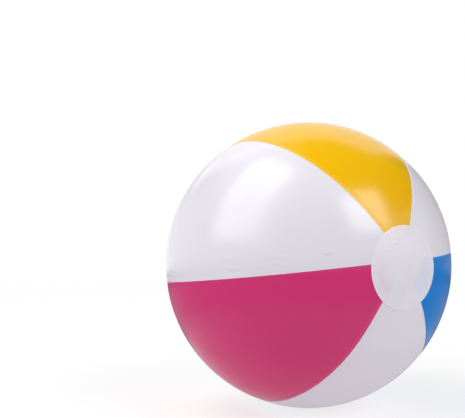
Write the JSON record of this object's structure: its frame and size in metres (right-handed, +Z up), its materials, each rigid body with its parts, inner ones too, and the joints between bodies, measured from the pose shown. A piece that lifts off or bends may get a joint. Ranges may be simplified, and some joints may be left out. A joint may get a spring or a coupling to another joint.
{
  "type": "inflatable beach ball",
  "caption": "Inflated vinyl beach ball of coloured and white gores, closed by round pole discs, with a push-in inflation valve, tethered stopper and inner check flap.",
  "frame": {"origin": "the centre of the inflated ball, which is the centre of its box", "axes": "X is the pole axis on which the gores meet, with the plain disc at +X and the valve disc at -X; +Z is up as the ball lies"},
  "size_m": [0.403, 0.4, 0.4],
  "materials": {
    "yellow_vinyl": "gloss",
    "white_vinyl": "gloss",
    "pink_vinyl": "gloss",
    "blue_vinyl": "gloss",
    "disc_vinyl": "gloss",
    "valve_vinyl": "satin",
    "flap_vinyl": "satin"
  },
  "bodies": {
    "ball": {"yellow_gore": "yellow_vinyl", "white_gore_1": "white_vinyl", "pink_gore": "pink_vinyl", "white_gore_2": "white_vinyl", "blue_gore": "blue_vinyl", "white_gore_3": "white_vinyl", "plain_disc": "disc_vinyl", "valve_disc": "disc_vinyl", "valve_flange": "valve_vinyl", "valve_boot": "valve_vinyl"},
    "stem": {"valve_stem": "valve_vinyl", "stopper_strap": "valve_vinyl"},
    "stopper": {"stopper": "valve_vinyl"},
    "flap": {"check_flap": "flap_vinyl"}
  },
  "joints": [
    {"name": "stem_slide", "type": "slide", "parent": "ball", "child": "stem", "axis": [-1, 0, 0], "range_m": [0, 0.0138], "deforming": ["valve_boot"]},
    {"name": "stopper_flip", "type": "hinge", "parent": "stem", "child": "stopper", "pos_m": [-0.20135, 0, -0.011], "axis": [0, -1, 0], "range_deg": [0, 170], "deforming": ["stopper_strap"]},
    {"name": "flap_swing", "type": "hinge", "parent": "stem", "child": "flap", "pos_m": [-0.1869, 0, 0.0065], "axis": [0, -1, 0], "range_deg": [0, 60], "stiffness_Nm_per_rad": 0.0002}
  ]
}
